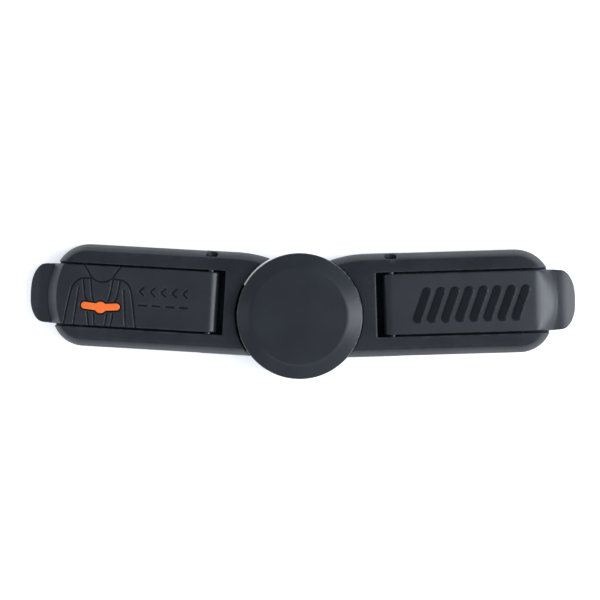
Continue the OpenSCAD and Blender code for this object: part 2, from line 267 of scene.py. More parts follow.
def outline_distance(a, b, points):
    """Signed distance in a plane to a closed outline."""
    a, b = np.broadcast_arrays(a, b)
    square = np.full(a.shape, FAR ** 2, dtype=np.float32)
    inside = np.zeros(a.shape, dtype=bool)
    for start, end in zip(points, points[1:] + points[:1]):
        square = np.minimum(square, segment_square(a, b, start, end))
        (a0, b0), (a1, b1) = start, end
        rise = b1 - b0 if b1 != b0 else 1e-12
        crosses = (b0 > b) != (b1 > b)
        inside ^= crosses & (a < a0 + (b - b0) * (a1 - a0) / rise)
    return np.where(inside, -np.sqrt(square), np.sqrt(square))


def stroke_distance(a, b, lines):
    """Distance in a plane to the nearest of some open lines."""
    a, b = np.broadcast_arrays(a, b)
    square = np.full(a.shape, FAR ** 2, dtype=np.float32)
    for points in lines:
        for start, end in zip(points, points[1:]):
            square = np.minimum(square, segment_square(a, b, start, end))
    return np.sqrt(square)


def arc(centre, r, start, end, steps=24):
    angles = [math.radians(start + (end - start) * i / steps) for i in range(steps + 1)]
    return [(centre[0] + r * math.cos(a), centre[1] + r * math.sin(a)) for a in angles]


# ---------------------------------------------------------------- meshes

def mesh_object(name, points, faces):
    mesh = bpy.data.meshes.new(name)
    mesh.from_pydata(points, [], faces)
    mesh.validate()
    mesh.polygons.foreach_set("use_smooth", [True] * len(mesh.polygons))
    mesh.update()
    piece = bpy.data.objects.new(name, mesh)
    bpy.context.scene.collection.objects.link(piece)
    return piece


def mark_points(piece, name, values):
    """Keeps a number for each of a mesh's points."""
    attribute = piece.data.attributes.new(name, "FLOAT", "POINT")
    attribute.data.foreach_set("value", np.asarray(values, dtype=np.float32))


def curvature_at(field, grid, points):
    """Curvature of the surface at mesh points: above zero on outer edges and below zero in corners."""
    reach = 2
    index = np.rint((points - grid.low) / grid.voxel).astype(int)
    index = np.clip(index, reach, np.array(field.shape) - 1 - reach)
    i, j, k = index.T
    total = -6 * field[i, j, k]
    for step in (-reach, reach):
        total = total + field[i + step, j, k] + field[i, j + step, k] + field[i, j, k + step]
    return total / (reach * grid.voxel) ** 2


def skin(name, field, grid, polish_and_shade=None):
    """Meshes a field's zero surface and keeps its curvature as the attribute 'edge'.

    The last argument gives mesh points 0, or 1 where the surface is dark and glossy, or -1 where it is
    painted dark and dull as shade.
    """
    field = np.ascontiguousarray(field + 0 * (grid.u + grid.v + grid.z), dtype=np.float32)
    band = 3 * grid.voxel
    volume = openvdb.FloatGrid(band)
    volume.copyFromArray(np.clip(field, -band, band))
    points, triangles, quads = volume.convertToPolygons(isovalue=0.0, adaptivity=0.02)
    points = points * grid.voxel + grid.low
    edge = curvature_at(field, grid, points)
    place = from_arm(points, grid.side) if grid.side else points
    faces = [f.tolist() for f in quads] + [f.tolist() for f in triangles]
    if grid.side == LEFT:
        faces = [f[::-1] for f in faces]
    piece = mesh_object(name, (place * MM).tolist(), faces)
    mark_points(piece, "edge", edge)
    if polish_and_shade:
        mark_points(piece, "polish_and_shade", polish_and_shade(points))
    piece.modifiers.new("even_normals", "WEIGHTED_NORMAL").keep_sharp = False
    return piece


def read_plan(plan, grid, points):
    """Values of a plan at mesh points, blended between its samples."""
    at = (points[:, :2] - grid.low[:2]) / grid.voxel
    at = np.clip(at, 0, np.array(plan.shape) - 1.001)
    i, j = at.astype(int).T
    a, b = (at - at.astype(int)).T
    near = plan[i, j] * (1 - b) + plan[i, j + 1] * b
    far = plan[i + 1, j] * (1 - b) + plan[i + 1, j + 1] * b
    return near * (1 - a) + far * a


def rounded_profile(corners, steps=8):
    """A line through (radius, height, rounding) corners, with an arc at each rounded one."""
    line = []
    for n, (r, z, rounding) in enumerate(corners):
        here = Vector((r, z))
        if not rounding or n in (0, len(corners) - 1):
            line.append(here)
            continue
        before = (Vector(corners[n - 1][:2]) - here).normalized()
        after = (Vector(corners[n + 1][:2]) - here).normalized()
        half = before.angle(after) / 2
        centre = here + (before + after).normalized() * (rounding / math.sin(half))
        start = here + before * (rounding / math.tan(half)) - centre
        turn = here + after * (rounding / math.tan(half)) - centre
        angle = math.atan2(start.cross(turn), start.dot(turn))
        for i in range(steps + 1):
            a = angle * i / steps
            line.append(centre + Vector((start.x * math.cos(a) - start.y * math.sin(a),
                                         start.x * math.sin(a) + start.y * math.cos(a))))
    return line


def lathe(name, corners, matrix=Matrix.Identity(4), sides=192):
    """Turns a profile of (radius, height, rounding) corners in mm about the z axis, then places it."""
    line = rounded_profile(corners)
    points, rings = [], []
    for p in line:
        if p.x < 1e-6:
            rings.append([len(points)] * sides)
            points.append(Vector((0, 0, p.y)))
        else:
            rings.append(list(range(len(points), len(points) + sides)))
            points += [Vector((p.x * math.cos(2 * math.pi * k / sides),
                               p.x * math.sin(2 * math.pi * k / sides), p.y)) for k in range(sides)]
    faces = []
    for low, high in zip(rings, rings[1:]):
        for k in range(sides):
            n = (k + 1) % sides
            face = [low[k], low[n], high[n], high[k]]
            faces.append(list(dict.fromkeys(face)))
    piece = mesh_object(name, [tuple(matrix @ p * MM) for p in points], faces)
    piece.modifiers.new("even_normals", "WEIGHTED_NORMAL").keep_sharp = False
    return piece


def sweep(name, route, r, sides=16):
    """A closed round tube along a list of points in mm."""
    points, faces = [], []
    for n, here in enumerate(route):
        ahead = route[min(n + 1, len(route) - 1)] - route[max(n - 1, 0)]
        ahead.normalize()
        out = Vector((here.x, here.y, 0)).normalized()
        out = (out - ahead * out.dot(ahead)).normalized()
        up = ahead.cross(out)
        for k in range(sides):
            a = 2 * math.pi * k / sides
            points.append((here + r * (math.cos(a) * out + math.sin(a) * up)) * MM)
    for n in range(len(route) - 1):
        for k in range(sides):
            m = (k + 1) % sides
            faces.append([n * sides + k, n * sides + m, (n + 1) * sides + m, (n + 1) * sides + k])
    last = (len(route) - 1) * sides
    faces.append(list(range(sides))[::-1])
    faces.append(list(range(last, last + sides)))
    return mesh_object(name, [tuple(p) for p in points], faces)


def joined(name, pieces):
    """Makes one object of several and keeps their point attributes."""
    with bpy.context.temp_override(active_object=pieces[0], selected_editable_objects=pieces,
                                   object=pieces[0], selected_objects=pieces):
        bpy.ops.object.join()
    pieces[0].name = name
    return pieces[0]


# ---------------------------------------------------------------- materials

def noise(nodes, links, place, scale, detail=3.0, roughness=0.55):
    texture = nodes.new("ShaderNodeTexNoise")
    texture.inputs["Scale"].default_value = scale
    texture.inputs["Detail"].default_value = detail
    texture.inputs["Roughness"].default_value = roughness
    links.new(place, texture.inputs["Vector"])
    return texture.outputs["Fac"]


def spread(nodes, links, value, low, high, to_low=0.0, to_high=1.0):
    """Maps a value's range onto another, held at both ends."""
    node = nodes.new("ShaderNodeMapRange")
    for socket, number in zip(("From Min", "From Max", "To Min", "To Max"), (low, high, to_low, to_high)):
        node.inputs[socket].default_value = number
    links.new(value, node.inputs["Value"])
    return node.outputs["Result"]


def blended(nodes, links, share, first, second):
    """A colour between two, each a colour or a socket."""
    node = nodes.new("ShaderNodeMix")
    node.data_type = "RGBA"
    links.new(share, node.inputs["Factor"])
    for name, colour in (("A", first), ("B", second)):
        socket = next(s for s in node.inputs if s.name == name and s.type == "RGBA")
        if isinstance(colour, tuple):
            socket.default_value = (*colour, 1)
        else:
            links.new(colour, socket)
    return next(s for s in node.outputs if s.type == "RGBA")


def computed(nodes, links, operation, first, second):
    """One sum on two values, each a number or a socket."""
    node = nodes.new("ShaderNodeMath")
    node.operation = operation
    for socket, value in zip(node.inputs, (first, second)):
        if isinstance(value, float):
            socket.default_value = value
        else:
            links.new(value, socket)
    return node.outputs[0]


def attribute(nodes, name):
    node = nodes.new("ShaderNodeAttribute")
    node.attribute_name = name
    return node.outputs["Fac"]


def surface_colour(nodes, links, base, worn_and_highlight, mottle, patterns):
    """Cloudy colour: paler on rubbed edges and as a painted highlight on the button's rim, and nearly black
    on glossy bars and as painted shade in grooves, recesses and the window's end.
    """
    cloud, fine, rub_and_highlight, polish_and_shade = patterns
    darker = tuple(c * (1 - mottle) for c in base)
    lighter = tuple(c * (1 + mottle) for c in base)
    colour = blended(nodes, links, spread(nodes, links, cloud, 0.35, 0.65), darker, lighter)
    colour = blended(nodes, links, spread(nodes, links, fine, 0.45, 0.75, 0.0, 0.35), colour, lighter)
    colour = blended(nodes, links, rub_and_highlight, colour, worn_and_highlight)
    # Painted shade in grooves, recesses and the window's end turns nearly black here, as do the glossy bars.
    dark_share = computed(nodes, links, "MULTIPLY", polish_and_shade, 0.65)
    dark_share = computed(nodes, links, "ABSOLUTE", dark_share, 0.0)
    return blended(nodes, links, dark_share, colour, (0.002, 0.002, 0.002))


def surface_roughness(nodes, links, roughness, smudge, patterns):
    """Roughness with smudges and grain, lower on rubbed and on polished places."""
    _, fine, rub_and_highlight, polish_and_shade = patterns
    rough = spread(nodes, links, smudge, 0.3, 0.7, roughness - 0.05, roughness + 0.06)
    rough = computed(nodes, links, "ADD", rough, spread(nodes, links, fine, 0.3, 0.7, -0.03, 0.03))
    rough = computed(nodes, links, "ADD", rough, computed(nodes, links, "MULTIPLY", rub_and_highlight, -0.08))
    return computed(nodes, links, "ADD", rough, computed(nodes, links, "MULTIPLY", polish_and_shade, -0.14))


def surface_shine(nodes, links, specular, edge, polish_and_shade):
    """Specular level, lowered in tight corners to paint shade there, and on glossy bars and painted-shade
    places.
    """
    corner = spread(nodes, links, edge, -3.0, -0.8, 1.0, 0.0)
    dull = computed(nodes, links, "MAXIMUM", computed(nodes, links, "ABSOLUTE", polish_and_shade, 0.0), corner)
    return computed(nodes, links, "ADD", computed(nodes, links, "MULTIPLY", dull, -0.6 * specular), specular)


def surface(name, base, worn_and_highlight, roughness, grain_mm, bump, mottle=0.25, metallic=0.0, specular=0.5):
    """A moulded or plated surface: cloudy colour, rubbed outer edges (on the button's rim a painted
    highlight), smudges and a fine grain.
    """
    material = bpy.data.materials.new(name)
    material.use_nodes = True
    nodes, links = material.node_tree.nodes, material.node_tree.links
    shader = nodes["Principled BSDF"]
    place = nodes.new("ShaderNodeTexCoord").outputs["Object"]
    edge, polish_and_shade = attribute(nodes, "edge"), attribute(nodes, "polish_and_shade")

    cloud = noise(nodes, links, place, 90.0, 4.0)
    fine = noise(nodes, links, place, 1 / (grain_mm * MM), 2.0, 0.5)
    smudge = noise(nodes, links, place, 38.0, 5.0, 0.6)
    scuff = noise(nodes, links, place, 420.0, 3.0, 0.7)
    # Paler outer edges: wear, and on the button's rim a painted highlight.
    rub_and_highlight = computed(nodes, links, "MULTIPLY", spread(nodes, links, edge, 0.6, 3.0),
                   spread(nodes, links, scuff, 0.42, 0.62))

    patterns = cloud, fine, rub_and_highlight, polish_and_shade
    links.new(surface_colour(nodes, links, base, worn_and_highlight, mottle, patterns), shader.inputs["Base Color"])
    links.new(surface_roughness(nodes, links, roughness, smudge, patterns), shader.inputs["Roughness"])
    links.new(surface_shine(nodes, links, specular, edge, polish_and_shade), shader.inputs["Specular IOR Level"])
    shader.inputs["Metallic"].default_value = metallic

    relief = nodes.new("ShaderNodeBump")
    relief.inputs["Strength"].default_value = bump
    relief.inputs["Distance"].default_value = grain_mm * MM * 0.25
    links.new(fine, relief.inputs["Height"])
    links.new(relief.outputs["Normal"], shader.inputs["Normal"])
    return material


FINISHES = {
    "arm_plastic": dict(base=(0.0185, 0.0197, 0.0232), worn_and_highlight=(0.034, 0.037, 0.043), roughness=0.42,
                        grain_mm=0.16, bump=0.35, specular=0.2),
    "flap_plastic": dict(base=(0.0112, 0.0126, 0.0155), worn_and_highlight=(0.026, 0.029, 0.035), roughness=0.38,
                         grain_mm=0.14, bump=0.35),
    # The button's pale edge colour paints a highlight on its rim.
    "button_plastic": dict(base=(0.0142, 0.0167, 0.0198), worn_and_highlight=(0.08, 0.084, 0.09), roughness=0.38,
                           grain_mm=0.10, bump=0.15, mottle=0.15, specular=0.36),
    "rear_plastic": dict(base=(0.0095, 0.0106, 0.0136), worn_and_highlight=(0.026, 0.029, 0.035), roughness=0.46,
                         grain_mm=0.20, bump=0.4),
    "tongue_plastic": dict(base=(0.0020, 0.0022, 0.0028), worn_and_highlight=(0.008, 0.008, 0.010), roughness=0.6,
                           grain_mm=0.18, bump=0.4, specular=0.25),
    "inner_plastic": dict(base=(0.58, 0.55, 0.46), worn_and_highlight=(0.66, 0.63, 0.55), roughness=0.33,
                          grain_mm=0.12, bump=0.1, mottle=0.06),
    "marker_plastic": dict(base=(1.0, 0.165, 0.018), worn_and_highlight=(1.0, 0.24, 0.05), roughness=0.42,
                           grain_mm=0.10, bump=0.2, mottle=0.05),
    "grip_rubber": dict(base=(0.009, 0.0095, 0.010), worn_and_highlight=(0.02, 0.02, 0.022), roughness=0.72,
                        grain_mm=0.12, bump=0.5, mottle=0.2, specular=0.3),
    "steel": dict(base=(0.07, 0.07, 0.08), worn_and_highlight=(0.16, 0.16, 0.17), roughness=0.42,
                  grain_mm=0.06, bump=0.15, mottle=0.10, metallic=1.0),
    "spring_steel": dict(base=(0.46, 0.46, 0.45), worn_and_highlight=(0.6, 0.6, 0.6), roughness=0.24,
                         grain_mm=0.05, bump=0.15, mottle=0.08, metallic=1.0),
}
MATERIALS = {name: surface(name, **finish) for name, finish in FINISHES.items()}


def finished(piece, body, slot, node):
    """Gives a piece its material and its body, and hides the CAD node that it stands for."""
    piece.data.materials.clear()
    piece.data.materials.append(MATERIALS[slot])
    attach(piece, body)
    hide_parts(node)
    return piece


# ---------------------------------------------------------------- arms

def arm_outline():
    """Outline of an arm seen from the front, anticlockwise."""
    shoulder = math.degrees(math.asin(SHOULDER_U / SHOULDER_R))
    return (
        [(0.0, -ARM_HALF)]
        + arc((ARM_LEN - CORNER_LOW, CORNER_LOW - ARM_HALF), CORNER_LOW, -90, 0)
        + arc((ARM_LEN - CORNER_UP, ARM_HALF - CORNER_UP), CORNER_UP, 0, 90)
        + arc((SHOULDER_U, ARM_HALF - SHOULDER_R), SHOULDER_R, 90, 90 + shoulder)
    )


def arm_body(grid):
    """An arm in front of its rear plate, whose sides lean in towards the front."""
    share = np.clip((grid.z - LEAN_Z) / (ARM_H - LEAN_Z), 0, 1)
    inset = LEAN_W * (1 - np.maximum(1 - share ** LEAN_POWER, 1e-6) ** (1 / LEAN_POWER))
    slope = np.clip(np.gradient(inset[0, 0], grid.voxel), 0, 4)[None, None, :]
    plan = outline_distance(grid.u[:, :, 0], grid.v[:, :, 0], arm_outline())[:, :, None]
    side = (plan + inset) / np.sqrt(1 + slope ** 2)
    crown = CROWN * np.maximum(np.abs(grid.v) - WINDOW_HALF, 0)
    front = (grid.z - ARM_H + crown) / math.hypot(1, CROWN)
    return both(both(side, front, 0.4), PLATE_T - grid.z, 0.2)


def arm_cuts(grid, field):
    """Cuts the window, the webbing slot, the pin's bore and the catches' dimples."""
    window = block(grid, (WINDOW_U, -WINDOW_HALF, WINDOW_FLOOR), (FAR, WINDOW_HALF, FAR), 0.25)
    slot = block(grid, (SLOT_U, -FAR, -FAR), (FAR, FAR, RAIL_Z), 0.4)
    field = cut(field, window, 0.3)
    field = cut(field, slot, 0.35)
    field = cut(field, cross_bar(grid, HINGE_U, HINGE_Z, PIN_HEAD_R + 0.3, PIN_NECK - 0.02, FAR), 0.15)
    field = cut(field, cross_bar(grid, HINGE_U, HINGE_Z, PIN_R, PIN_TIP - 0.1, FAR), 0.05)
    reach = WINDOW_HALF + 0.3
    field = cut(field, cross_bar(grid, CATCH_U, CATCH_Z, CATCH_R + 0.2, -reach, reach), 0.1)
    for s in (-1, 1):
        field = cut(field, arm_post(grid, SCREW_U, s * SCREW_V, SCREW_BORE, -FAR, SCREW_TOP + 0.2), 0.05)
    return field


def window_shade(points):
    """The deep end of the window, which light hardly reaches."""
    within = (points[:, 0] > WINDOW_U - 0.1) & (np.abs(points[:, 1]) < WINDOW_HALF + 0.1)
    return -1.0 * (within & (points[:, 2] < ARM_H - 1.2))


def left_end(grid):
    """The round end of the left half beside the button, which leans back towards the rear."""
    return grid.radius - LEFT_END_R - END_LEAN * (ARM_H - grid.z) * np.clip(grid.y / 8, 0, 1)


def left_shell():
    grid = Grid((6, -ARM_HALF - 1, PLATE_T - 0.8), (ARM_LEN + 1, ARM_HALF + 1, ARM_H + 0.9), 0.15, LEFT)
    field = arm_cuts(grid, arm_body(grid))
    half = ROOT_HALF + 0.1
    pocket = block(grid, (-FAR, -half, -FAR), (SLOT_U + 1, half, WINDOW_FLOOR + 0.05), 0.2)
    field = cut(cut(field, pocket, 0.2), left_end(grid), 0.2)
    piece = skin("left_arm_shell", field, grid, polish_and_shade=window_shade)
    return finished(piece, "left_half", "arm_plastic", "left_shell")


def hub_risers(grid):
    """The collar that stands up inside the button, and the tube that guides its stem."""
    collar = both(np.abs(grid.radius - COLLAR_R + 0.7) - 0.7, between(grid.z, HUB_FLOOR - 0.5, TUBE_TOP), 0.3)
    tube = both(grid.radius - GUIDE_R - 1.2, between(grid.z, HUB_CEILING, TUBE_TOP), 0.25)
    return collar, tube


def hub_cavity(grid):
    """The room inside the latch housing, round the screw bosses and the fork's posts."""
    cavity = both(grid.radius - CAVITY_R, grid.z - HUB_CEILING, 0.3)
    for x, y in HUB_SCREWS:
        cavity = cut(cavity, post(grid, x, y, 2.6, -FAR, FAR), 0.2)
    for x, y in POSTS:
        cavity = cut(cavity, post(grid, x, y, POST_R, -FAR, FAR), 0.1)
        cavity = cut(cavity, post(grid, x, y, POST_R + 0.9, tongue_high[2], FAR), 0.1)
    return cavity


def hub_openings(grid, field):
    """Cuts the button's guide and leg slots, the tongue's entry and the screw bores."""
    field = cut(field, grid.radius - GUIDE_R - 0.1, 0.15)
    for s in (-1, 1):
        slot = both(between(grid.x, LEG_X[0] - 0.2, LEG_X[1] + 0.2),
                    between(s * grid.y, LEG_Y[0] - 0.2, LEG_Y[1] + 0.2), 0.2)
        field = cut(field, both(slot, HUB_CEILING - 1 - grid.z, 0.1), 0.15)
    entry = both(between(grid.x, -FAR, -12), np.abs(grid.y) - TONGUE_HALF - 0.4, 0.3)
    field = cut(field, both(entry, grid.z - ENTRY_TOP, 0.3), 0.25)
    for x, y in HUB_SCREWS:
        field = cut(field, post(grid, x, y, SCREW_BORE, -FAR, SCREW_TOP + 0.2), 0.05)
    return field


def right_shell():
    low = (-HUB_R - 1, -HUB_R - ARM_OFFSET - 1, PLATE_T - 0.8)
    grid = Grid(low, (ARM_LEN + 1, ARM_HALF + 1, ARM_H + 0.9), 0.16, RIGHT)
    arm = both(arm_cuts(grid, arm_body(grid)), 0.3 - grid.u, 0.1)
    hub = both(both(grid.radius - HUB_R, grid.z - HUB_FLOOR, 0.3), PLATE_T - grid.z, 0.2)
    field = either(arm, hub, 0.6)
    field = cut(field, both(grid.radius - RIGHT_END_R, HUB_FLOOR - grid.z, 0.3), 0.04)
    for part in hub_risers(grid):
        field = either(field, part, 0.3)
    field = hub_openings(grid, cut(field, hub_cavity(grid), 0.15))
    piece = skin("right_arm_shell", field, grid, polish_and_shade=window_shade)
    return finished(piece, "right_half", "arm_plastic", "right_shell")


# ---------------------------------------------------------------- flaps

def eased(past, bend):
    """A distance that sets in gently, over the length of a bend."""
    past = np.maximum(past, 0)
    return np.where(past < bend, past ** 2 / (2 * bend), past - bend / 2)


def flap_front(u, side):
    """Height of a flap's face, which rolls down towards its outer end."""
    return FLAP_TOP - ROLL_SLOPE * eased(u - ROLL_U[side], ROLL_BEND)


def face_marks(plan, grid):
    """Reads a plan of the flap's face at mesh points, and gives 0 on its other sides."""
    def read(points):
        on_face = points[:, 2] > flap_front(points[:, 0], grid.side) - 1.2
        return read_plan(plan, grid, points) * on_face
    return read


def tab_shape(grid):
    """The finger tab: a flat tongue with round corners and a bowed end, bent down towards its tip."""
    plan = both(np.abs(grid.v) - FLAP_HALF, grid.u - TAB_END, 6.0)
    plan = both(plan, np.hypot(grid.u - TAB_END + 16, grid.v) - 16, 1.0)
    plan = np.maximum(plan, WALL_U - grid.u)
    drop = TAB_SLOPE * eased(grid.u - TAB_BEND_U, TAB_BEND)
    return both(both(plan, grid.z - TAB_Z - TAB_T + drop, 0.35), TAB_Z - grid.z, 0.3)


def hinge_nose(grid):
    """The rolled inner end of a flap round its hinge pin, a little longer inwards than it is deep."""
    reach = np.where(grid.u < HINGE_U, NOSE_REACH, BARREL_R)
    return (np.hypot((grid.u - HINGE_U) / reach, (grid.z - HINGE_Z) / BARREL_R) - 1) * BARREL_R


def strip_spans():
    """Where the two ribs and strips under a flap lie across it."""
    return (strip_low[1], strip_low[1] + RIB_W), (strip_high[1] - RIB_W, strip_high[1])


def flap_shape(grid):
    """A flap without its picture or grip bars."""
    height = flap_front(grid.u, grid.side)
    slope = np.gradient(height[:, 0, 0], grid.voxel)[:, None, None]
    front = (grid.z - height) / np.sqrt(1 + slope ** 2)
    under = either(FLAP_TOP - FLAP_T - grid.z, both(TAB_Z - grid.z, WALL_U - grid.u, 0.3), 0.4)
    body = both(both(front, under, 0.3), HINGE_U - grid.u, 0.05)
    lean = STEP_SLOPE[grid.side]
    reach = STEP_R[grid.side] + (STEP_Z - grid.z) * lean
    step = (np.hypot(grid.u - STEP_U, grid.v) - reach) / math.hypot(1, lean)
    body = both(body, np.where(grid.u > STEP_U, step, -FAR), STEP_EDGE[grid.side])
    body = np.minimum(body, hinge_nose(grid))
    body = either(body, tab_shape(grid), 0.15)
    wall = block(grid, (WALL_U, -FAR, PLATE_T + 0.5), (WALL_U + WALL_T, FAR, TAB_Z + 1), 0.3)
    body = both(either(body, wall, 0.3), np.abs(grid.v) - FLAP_HALF, 0.4)
    for low, high in strip_spans():
        rib = block(grid, (strip_low[0], low, strip_high[2]), (strip_high[0], high, FLAP_TOP - 1), 0.2)
        body = either(body, rib, 0.4)
    reach = FLAP_HALF + CATCH_OUT
    body = either(body, cross_bar(grid, CATCH_U, CATCH_Z, CATCH_R, -reach, reach, 0.3), 0.1)
    half = FLAP_HALF - 2.5
    body = cut(body, block(grid, (POCKET_U, -half, 4.0), (WALL_U, half, FLAP_TOP - FLAP_T), 0.4), 0.2)
    return cut(body, cross_bar(grid, HINGE_U, HINGE_Z, PIN_R + 0.05, -FAR, FAR), 0.15)


def flap_grid(side):
    low = (flap_low[0] - 1.2, -FLAP_HALF - 1, flap_low[2] - 0.6)
    return Grid(low, (TAB_END + 0.8, FLAP_HALF + 1, FLAP_TOP + 1), 0.095, side)


def marker_plan(grid):
    """Distance to the marker's plan: a round centre with an arm on each side, like the clip itself."""
    rise = MARKER_ARM * math.tan(math.radians(5))
    ends = [(MARKER_U + s * MARKER_ARM, MARKER_V + rise) for s in (-1, 1)]
    line = [ends[0], (MARKER_U, MARKER_V), ends[1]]
    arms = stroke_distance(grid.u[:, :, 0], grid.v[:, :, 0], [line]) - MARKER_HALF
    centre = np.hypot(grid.u - MARKER_U, grid.v - MARKER_V)[:, :, 0] - MARKER_R
    return either(arms, centre, 0.2)[:, :, None]


def torso_lines():
    """A plain torso with two shoulder straps, seen from the front, round the marker."""
    middle = MARKER_U
    lines = []
    neck = arc((middle, 8.6), 4.4, 200, 340, 20)
    lines.append([(middle - 5.6, FLAP_HALF)] + neck + [(middle + 5.6, FLAP_HALF)])
    shoulder = [(3.0, 5.35), (6.4, 4.9), (8.3, 3.3), (9.4, 0.2), (10.9, -FLAP_HALF)]
    sleeve = [(6.8, 2.0), (7.3, -3.0), (7.9, -FLAP_HALF)]
    strap_above = [(5.6, 4.9), (4.9, 0.0), (4.1, -1.6)], [(3.4, 5.1), (2.7, 0.0), (2.2, -1.4)]
    strap_below = [(3.9, -5.2), (3.3, -FLAP_HALF)], [(2.0, -5.4), (1.6, -FLAP_HALF)]
    for s in (-1, 1):
        for half in (shoulder, sleeve, *strap_above):
            lines.append(smooth_line([(middle + s * u, v) for u, v in half]))
        for half in strap_below:
            lines.append([(middle + s * u, v) for u, v in half])
    return lines


def smooth_line(points, steps=8):
    """A Catmull-Rom curve through some points."""
    points = [2 * np.array(points[0]) - np.array(points[1])] + [np.array(p) for p in points]
    points.append(2 * points[-1] - points[-2])
    line = []
    for a, b, c, d in zip(points, points[1:], points[2:], points[3:]):
        for i in range(steps):
            t = i / steps
            line.append(tuple(0.5 * (2 * b + (c - a) * t + (2 * a - 5 * b + 4 * c - d) * t ** 2
                                     + (3 * b - a - 3 * c + d) * t ** 3)))
    line.append(tuple(points[-2]))
    return line


def pointer_lines():
    """Two rows of plain marks that point at the picture: chevrons over dashes."""
    lines = []
    for n in range(5):
        u = 34.2 + 3.3 * n
        lines.append([(u, 3.2), (u + 1.3, 2.0), (u, 0.8)])
    for n in range(4):
        u = 34.0 + 4.1 * n
        lines.append([(u, -2.2), (u + 2.4, -2.2)])
    return lines


def left_flap():
    grid = flap_grid(LEFT)
    field = flap_shape(grid)
    strokes = stroke_distance(grid.u[:, :, 0], grid.v[:, :, 0], torso_lines() + pointer_lines())
    groove = both(strokes[:, :, None] - GROOVE_HALF, flap_front(grid.u, grid.side) - 0.4 - grid.z, 0.08)
    field = cut(field, groove, 0.14)
    recess = marker_plan(grid) - MARKER_RECESS
    field = cut(field, both(recess, FLAP_TOP - 0.8 - grid.z, 0.1), 0.08)
    # Painted shade: the grooves and the marker's recess are painted dark and dull.
    sunk = np.minimum(strokes - GROOVE_HALF + 0.03, recess[:, :, 0])
    groove_shade = np.clip(-sunk / 0.08, 0, 1)
    piece = skin("left_strap_flap", field, grid, polish_and_shade=face_marks(-groove_shade, grid))
    return finished(piece, "left_flap", "flap_plastic", "left_flap")


def rib_plan(grid):
    """Distance to the plan of the slanted grip bars on the right flap's face."""
    lines = []
    for n in range(8):
        u = 36.6 + 4.2 * n
        lines.append([(u - 1.5, -4.5), (u + 1.5, 3.4)])
    return stroke_distance(grid.u[:, :, 0], grid.v[:, :, 0], lines) - 1.3


def right_flap():
    grid = flap_grid(RIGHT)
    field = flap_shape(grid)
    front, plan = flap_front(grid.u, grid.side), rib_plan(grid)
    bars = both(both(plan[:, :, None], grid.z - front - 0.35, 0.2), front - 0.6 - grid.z, 0.1)
    field = either(field, bars, 0.12)
    gloss = np.clip(0.5 - plan / 0.3, 0, 1)
    piece = skin("right_strap_flap", field, grid, polish_and_shade=face_marks(gloss, grid))
    return finished(piece, "right_flap", "flap_plastic", "right_flap")


def marker():
    grid = Grid(marker_low - 0.5, marker_high + np.array([0.5, 0.5, 0.7]), 0.07, LEFT)
    crown = 0.1 * np.clip(-marker_plan(grid) / 1.1, 0, 1)
    field = both(both(marker_plan(grid), grid.z - marker_high[2] - crown, 0.22), marker_low[2] - grid.z, 0.1)
    return finished(skin("orange_marker", field, grid), "left_flap", "marker_plastic", "clip_marker")


def flap_strips(side):
    name = SIDE_NAMES[side]
    grid = Grid(strip_low - 0.4, strip_high + 0.4, 0.1, side)
    field = FAR
    for low, high in strip_spans():
        strip = block(grid, (strip_low[0], low, strip_low[2]), (strip_high[0], high, strip_high[2] + 1), 0.25)
        field = np.minimum(field, strip)
    field = np.maximum(field, grid.z - strip_high[2])
    piece = skin(name + "_grip_strips", field, grid)
    return finished(piece, name + "_flap", "grip_rubber", name + "_flap_strips")


# ---------------------------------------------------------------- rear plates, pads, tongue

def back_plate(side):
    name = SIDE_NAMES[side]
    lows = {LEFT: (6, -ARM_HALF - 1, -0.8), RIGHT: (-HUB_R - 1, -HUB_R - ARM_OFFSET - 1, -0.8)}
    grid = Grid(lows[side], (ARM_LEN + 1, ARM_HALF + 1, PLATE_T + 0.8), 0.15, side)
    plan = outline_distance(grid.u[:, :, 0], grid.v[:, :, 0], arm_outline())[:, :, None]
    places = arm_screw_places(side)
    if side == RIGHT:
        plan = either(plan, grid.radius - HUB_R, 1.0)
        places += HUB_SCREWS
    else:
        plan = cut(plan, left_end(grid), 0.2)
    field = both(both(plan, -grid.z, 0.8), grid.z - PLATE_T, 0.15)
    gap = np.array([0.05, 0.05, 0])
    field = cut(field, block(grid, pad_low - gap, (*(pad_high + gap)[:2], FAR), 0.1), 0.15)
    for x, y in places:
        field = cut(field, post(grid, x, y, HEAD_HOLE, -FAR, HEAD_DEPTH), 0.2)
        field = cut(field, post(grid, x, y, SCREW_HOLE, -FAR, FAR), 0.05)
    piece = skin(name + "_rear_plate", field, grid)
    return finished(piece, name + "_half", "rear_plastic", name + "_back_plate")


def grip_pad(side):
    name = SIDE_NAMES[side]
    grid = Grid(pad_low - 0.5, pad_high + 0.5, 0.12, side)
    top = PLATE_T + 0.2
    field = block(grid, pad_low, (pad_high[0], pad_high[1], top), 0.15)
    for n in range(7):
        v = -7.5 + 2.5 * n
        low, high = (pad_low[0] + 1, v - 0.35, top - 0.3), (pad_high[0] - 1, v + 0.35, pad_high[2])
        field = either(field, block(grid, low, high, 0.15), 0.2)
    piece = skin(name + "_ribbed_pad", field, grid)
    return finished(piece, name + "_half", "grip_rubber", name + "_grip_pad")


